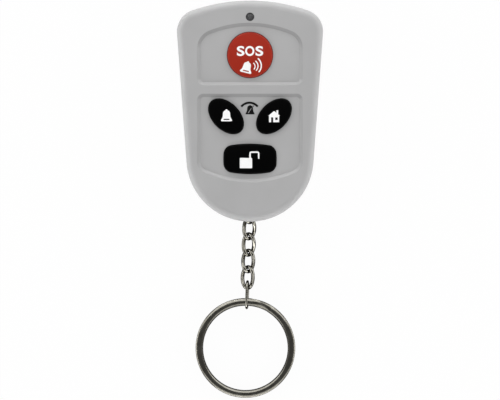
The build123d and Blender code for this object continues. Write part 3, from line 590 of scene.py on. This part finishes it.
# Each wave has its centre, radius, stroke width and half its angle.
waves = [((0.225, 11.12), 1.04, 0.24, 50), ((0.43, 11.22), 1.57, 0.27, 51), ((0.48, 11.32), 2.34, 0.32, 47)]
wave_turn = 4
sos_bell_place = (-0.80, 10.93)
sos_bell_stretch = (0.92, 1.0)
sos_bell_tilt = -14
sos_bell = bell("sos_bell", sos_bell_place, sos_bell_stretch, sos_bell_tilt)
sos_waves = flat_outline("sos_waves", [band(centre, radius, width, wave_turn - half, wave_turn + half)
                                       for centre, radius, width, half in waves])
sos_bell = join_films([sos_bell, sos_waves])
lay_film(sos_bell, button_ground("sos_button"), True)
finish_film(sos_bell, white_ink, "sos_button")

# Bell on the left oval and house on the right one: upright, in the same white
# ink. The house has a chimney, a door and a window.
arm_bell_place = (-5.86, -1.12)
arm_bell_stretch = (0.88, 1.02)
arm_bell = bell("arm_bell", arm_bell_place, arm_bell_stretch, 0)
lay_film(arm_bell, button_ground("arm_button"), True)
finish_film(arm_bell, white_ink, "arm_button")

house_outline = [
    (-1.27, -1.43), (-1.27, 0.145), (-1.47, 0.145), (-0.02, 1.37), (0.555, 0.905),
    (0.555, 1.57), (1.03, 1.57), (1.03, 0.53), (1.53, 0.145), (1.255, 0.145),
    (1.255, -1.43), (-0.245, -1.43), (-0.245, -0.22), (-0.76, -0.22), (-0.76, -1.43),
]
house_window = [(0.28, -0.855), (0.88, -0.855), (0.88, -0.255), (0.28, -0.255)]
house_place = (6.02, -1.37)
home_house = flat_outline("home_house", [placed(loop, house_place) for loop in (house_outline, house_window)])
lay_film(home_house, button_ground("home_button"), True)
finish_film(home_house, white_ink, "home_button")

# Open padlock on the lowest button, in the same white ink: a block with small
# round corners, and a shackle that stands open to its right.
lock_corner = 0.18
lock_corner_steps = 4
lock_left, lock_right, lock_foot, lock_head = -2.55, 0.52, -14.28, -11.70
shackle_left, shackle_right = 0.36, 1.82
shackle_bend_y = -10.61
shackle_outer_radius = 0.53
shackle_inner_radius = 0.16
shackle_end_y = -11.92
lock_corners = [
    (lock_right - lock_corner, lock_head - lock_corner, 90),
    (lock_right - lock_corner, lock_foot + lock_corner, 0),
    (lock_left + lock_corner, lock_foot + lock_corner, -90),
    (lock_left + lock_corner, lock_head - lock_corner, 180),
]
lock_body = [point for x, y, start in lock_corners
             for point in arc((x, y), lock_corner, start, start - 90, lock_corner_steps)]
shackle = ([(shackle_left - shackle_outer_radius, lock_head)]
           + arc((shackle_left, shackle_bend_y), shackle_outer_radius, 180, 90)
           + arc((shackle_right, shackle_bend_y), shackle_outer_radius, 90, 0)
           + [(shackle_right + shackle_outer_radius, shackle_end_y)]
           + [(shackle_right + shackle_inner_radius, shackle_end_y)]
           + arc((shackle_right, shackle_bend_y), shackle_inner_radius, 0, 90)
           + arc((shackle_left, shackle_bend_y), shackle_inner_radius, 90, 180)
           + [(shackle_left - shackle_inner_radius, lock_head)])
padlock = join_films([flat_outline("disarm_padlock", [lock_body]), flat_outline("disarm_shackle", [shackle])])
lay_film(padlock, button_ground("disarm_button"), True)
finish_film(padlock, white_ink, "disarm_button")

# Muted bell under an arc: printed in black ink on the floor of the lower panel,
# between the two ovals. It belongs to the front cover.
panel_depth = 0.35 * mm
black_ink_dark = (0.003, 0.003, 0.003, 1)
black_ink_light = (0.008, 0.008, 0.008, 1)
black_ink_gloss = (0.4, 0.55)
black_ink_shine = 0.1
black_ink, tree, shader = new_material("black_ink")
speck = object_noise(tree, ink_speck_scale)
tint(tree, speck, black_ink_dark, black_ink_light, shader.inputs["Base Color"])
vary(tree, speck, black_ink_gloss, shader.inputs["Roughness"])
shader.inputs["Specular IOR Level"].default_value = black_ink_shine
muted_half = [
    (0.10, 1.16), (0.24, 1.04), (0.52, 0.90), (0.68, 0.64), (0.74, 0.12),
    (0.82, -0.38), (1.02, -0.76), (1.12, -0.94), (1.12, -1.16),
]
slash = [(-0.54, -0.80), (-0.40, -0.87), (0.42, 0.37), (0.31, 0.44)]
slash_end = [(0.62, 0.78), (0.80, 0.66), (1.02, 0.98), (0.84, 1.08)]
muted_place = (0.01, 0.33)
muted_arc_centre = (-0.125, -0.565)
muted_arc_radius, muted_arc_width = 2.64, 0.54
muted_arc_start, muted_arc_end = 39, 141
muted_arc = band(muted_arc_centre, muted_arc_radius, muted_arc_width, muted_arc_start, muted_arc_end)
muted_bell = join_films([
    flat_outline("muted_bell", [muted_arc]),
    flat_outline("muted_body", [placed(loop, muted_place) for loop in (mirrored(muted_half), slash)]),
    flat_outline("muted_spur", [placed(slash_end, muted_place)]),
])
lay_film(muted_bell, (0, 0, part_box("front_cover")[1].z - panel_depth), False)
finish_film(muted_bell, black_ink, "housing")

# Chain, its pin, the connecting link and the split ring: steel wire, bent to
# shape and nickel plated, with the warm tone and faint rub marks of use. The
# pin is plain ground steel, pressed across the slot of the back cover.
rub_scale, rub_detail = 700.0, 6.0
clean_nickel = (0.64, 0.62, 0.55, 1)
# The colour that the nickel takes towards its rims, where the surface turns away from the view: a painted
# dark reflection.
painted_rim_shade = (0.022, 0.019, 0.014, 1)
nickel_gloss = (0.10, 0.22)
ripple_scale, ripple_detail = 2200.0, 4.0
ripple_depth = 0.003 * mm


def colour_sockets(sockets):
    """Those of the sockets that carry a colour."""
    return [socket for socket in sockets if socket.type == "RGBA"]


def nickel_plating(name, worn_nickel, rim_start, rim_full):
    """Bright nickel with duller rub marks; its colour darkens where the surface turns away from the view, a
    painted dark reflection.
    """
    material, tree, shader = new_material(name)
    shader.inputs["Metallic"].default_value = 1
    rub = object_noise(tree, rub_scale, rub_detail)
    slope = tree.nodes.new("ShaderNodeLayerWeight")
    rim = tree.nodes.new("ShaderNodeMapRange")
    rim.inputs["From Min"].default_value = rim_start
    rim.inputs["From Max"].default_value = rim_full
    tree.links.new(slope.outputs["Facing"], rim.inputs["Value"])
    mix = tree.nodes.new("ShaderNodeMix")
    mix.data_type = "RGBA"
    bright, dark = colour_sockets(mix.inputs)
    tint(tree, rub, worn_nickel, clean_nickel, bright)
    dark.default_value = painted_rim_shade
    tree.links.new(rim.outputs[0], mix.inputs["Factor"])
    tree.links.new(colour_sockets(mix.outputs)[0], shader.inputs["Base Color"])
    vary(tree, rub, nickel_gloss, shader.inputs["Roughness"])
    grain(tree, shader, object_noise(tree, ripple_scale, ripple_detail), ripple_depth)
    return material


link_count = 5
chain_worn_nickel = (0.26, 0.25, 0.21, 1)
chain_rim_start, chain_rim_full = 0.10, 0.34
chain_nickel = nickel_plating("nickel_chain", chain_worn_nickel, chain_rim_start, chain_rim_full)
dress(["chain_link_%d" % (number + 1) for number in range(link_count)] + ["connecting_link"], chain_nickel)

ring_worn_nickel = (0.48, 0.46, 0.39, 1)
ring_rim_start, ring_rim_full = 0.10, 0.25
# The inner side of the ring is darker in colour: painted shade, where its two turns shade each other.
ring_shade_start, ring_shade_full = 3.6 * mm, 6.2 * mm
ring_shade = 0.93
ring_low, ring_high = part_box("split_ring")
ring_middle = ((ring_low.x + ring_high.x) / 2, (ring_low.y + ring_high.y) / 2)
ring_nickel = nickel_plating("nickel_ring", ring_worn_nickel, ring_rim_start, ring_rim_full)
paint_shade_inward(ring_nickel, ring_middle, ring_shade_start, ring_shade_full, ring_shade)
dress(["split_ring"], ring_nickel)

pin_steel = (0.50, 0.50, 0.50, 1)
pin_gloss = (0.3, 0.42)
pin_lines = (1, 1, 0.1)
dress(["chain_pin"], bright_metal("pin_steel", pin_steel, pin_gloss, pin_lines, drawn_line_depth))
